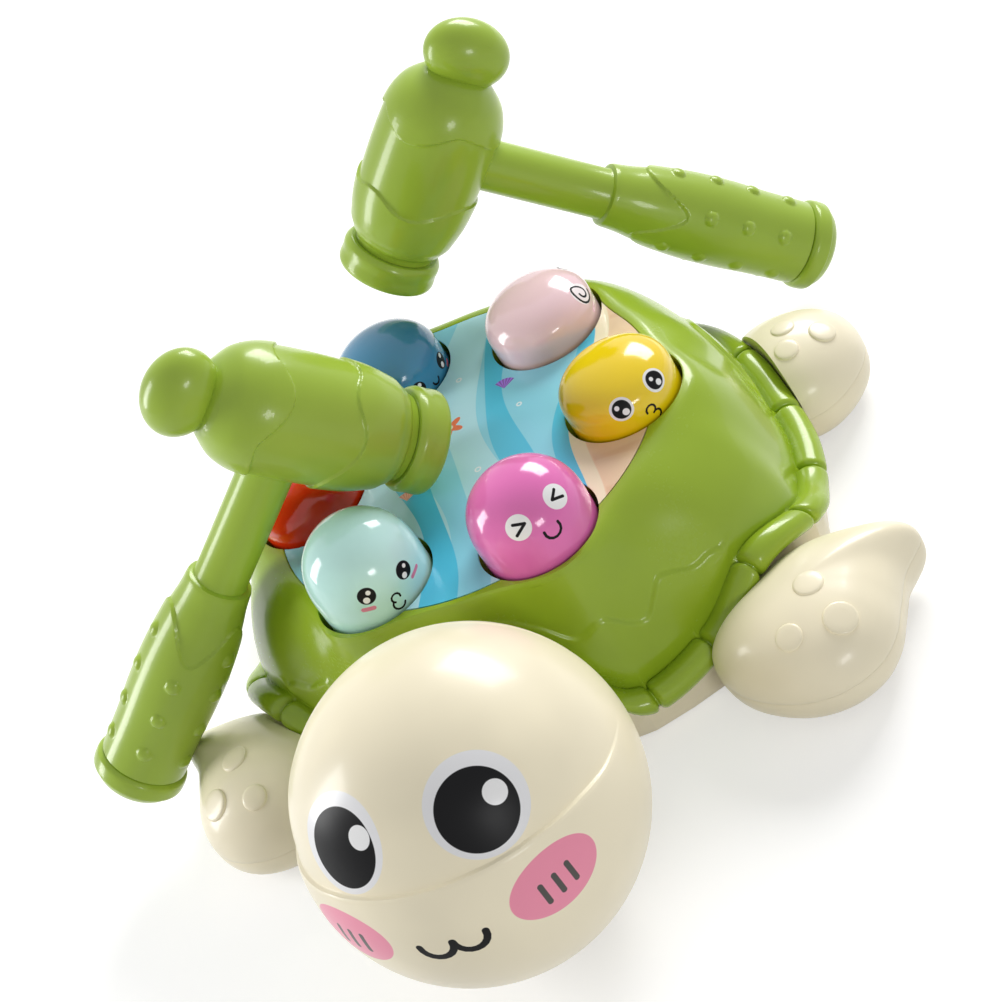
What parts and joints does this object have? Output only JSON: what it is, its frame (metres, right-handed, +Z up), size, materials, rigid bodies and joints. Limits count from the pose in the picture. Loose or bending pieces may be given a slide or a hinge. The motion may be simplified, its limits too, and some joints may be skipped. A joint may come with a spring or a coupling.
{
  "type": "turtle pounding toy with hammers",
  "caption": "Turtle-shaped pounding toy: sprung pop-up heads in a domed shell over a battery case with sound works, with toy hammers to strike them",
  "frame": {"origin": "the point of the flat underside below the middle of the ring of pop-up heads", "axes": "+Z up from the floor, -Y towards the turtle's head, +X to the turtle's left side"},
  "size_m": [0.2916, 0.3245, 0.17],
  "materials": {
    "green_plastic": "glossy moulded plastic",
    "cream_plastic": "glossy moulded plastic",
    "printed_sheet": "glossy printed film",
    "white_inner_plastic": "as moulded",
    "mint_plastic": "glossy moulded plastic",
    "magenta_plastic": "glossy moulded plastic",
    "red_plastic": "glossy moulded plastic",
    "yellow_plastic": "glossy moulded plastic",
    "blue_plastic": "glossy moulded plastic",
    "pink_plastic": "glossy moulded plastic",
    "zinc_steel": "zinc plated",
    "board_green": "lacquered circuit board",
    "black_plastic": "as moulded",
    "works_steel": "plain pressed steel",
    "cell_wrap": "plain shrink wrap over steel",
    "red_wire": "soft insulation",
    "black_wire": "soft insulation"
  },
  "bodies": {
    "base": {"upper_shell": "green_plastic", "lower_case": "cream_plastic", "battery_door": "cream_plastic", "head_front": "cream_plastic", "head_back": "cream_plastic", "flipper_front_right_top": "cream_plastic", "flipper_front_right_bottom": "cream_plastic", "flipper_front_left_top": "cream_plastic", "flipper_front_left_bottom": "cream_plastic", "flipper_rear_right_top": "cream_plastic", "flipper_rear_right_bottom": "cream_plastic", "flipper_rear_left_top": "cream_plastic", "flipper_rear_left_bottom": "cream_plastic", "play_sheet": "printed_sheet", "guide_plate": "white_inner_plastic", "battery_bay": "white_inner_plastic", "neck_retainer": "white_inner_plastic", "mint_spring": "zinc_steel", "magenta_spring": "zinc_steel", "red_spring": "zinc_steel", "yellow_spring": "zinc_steel", "blue_spring": "zinc_steel", "pink_spring": "zinc_steel", "case_screw_1": "zinc_steel", "case_screw_2": "zinc_steel", "case_screw_3": "zinc_steel", "case_screw_4": "zinc_steel", "door_screw": "zinc_steel", "battery_contact_left": "zinc_steel", "battery_contact_right": "zinc_steel", "circuit_board": "board_green", "mint_switch": "black_plastic", "magenta_switch": "black_plastic", "red_switch": "black_plastic", "yellow_switch": "black_plastic", "blue_switch": "black_plastic", "pink_switch": "black_plastic", "sound_chip": "black_plastic", "speaker": "works_steel", "power_switch": "works_steel", "battery_1": "cell_wrap", "battery_2": "cell_wrap", "battery_3": "cell_wrap", "battery_lead": "red_wire", "speaker_lead": "black_wire"},
    "mint_head": {"mint_mole": "mint_plastic"},
    "magenta_head": {"magenta_mole": "magenta_plastic"},
    "red_head": {"red_mole": "red_plastic"},
    "yellow_head": {"yellow_mole": "yellow_plastic"},
    "blue_head": {"blue_mole": "blue_plastic"},
    "pink_head": {"pink_mole": "pink_plastic"},
    "power_slider": {"power_knob": "black_plastic"},
    "hammer_1": {"hammer_1_head": "green_plastic", "hammer_1_strike_cap": "green_plastic", "hammer_1_handle": "green_plastic", "hammer_1_end_cap": "green_plastic"},
    "hammer_2": {"hammer_2_head": "green_plastic", "hammer_2_strike_cap": "green_plastic", "hammer_2_handle": "green_plastic", "hammer_2_end_cap": "green_plastic"}
  },
  "joints": [
    {"name": "mint_press", "type": "slide", "parent": "base", "child": "mint_head", "axis": [0, 0, -1], "range_m": [0, 0.014], "stiffness_N_per_m": 200, "springref_m": -0.004, "deforming": ["mint_spring"]},
    {"name": "magenta_press", "type": "slide", "parent": "base", "child": "magenta_head", "axis": [0, 0, -1], "range_m": [0, 0.014], "stiffness_N_per_m": 200, "springref_m": -0.004, "deforming": ["magenta_spring"]},
    {"name": "red_press", "type": "slide", "parent": "base", "child": "red_head", "axis": [0, 0, -1], "range_m": [0, 0.014], "stiffness_N_per_m": 200, "springref_m": -0.004, "deforming": ["red_spring"]},
    {"name": "yellow_press", "type": "slide", "parent": "base", "child": "yellow_head", "axis": [0, 0, -1], "range_m": [0, 0.014], "stiffness_N_per_m": 200, "springref_m": -0.004, "deforming": ["yellow_spring"]},
    {"name": "blue_press", "type": "slide", "parent": "base", "child": "blue_head", "axis": [0, 0, -1], "range_m": [0, 0.014], "stiffness_N_per_m": 200, "springref_m": -0.004, "deforming": ["blue_spring"]},
    {"name": "pink_press", "type": "slide", "parent": "base", "child": "pink_head", "axis": [0, 0, -1], "range_m": [0, 0.014], "stiffness_N_per_m": 200, "springref_m": -0.004, "deforming": ["pink_spring"]},
    {"name": "power_slide", "type": "slide", "parent": "base", "child": "power_slider", "axis": [1, 0, 0], "range_m": [0, 0.004]},
    {"name": "hammer_1_lift", "type": "slide", "parent": "base", "child": "hammer_1", "axis": [0, 0, 1], "range_m": [0, 0.12]},
    {"name": "hammer_2_lift", "type": "slide", "parent": "base", "child": "hammer_2", "axis": [0, 0, 1], "range_m": [0, 0.12]}
  ]
}
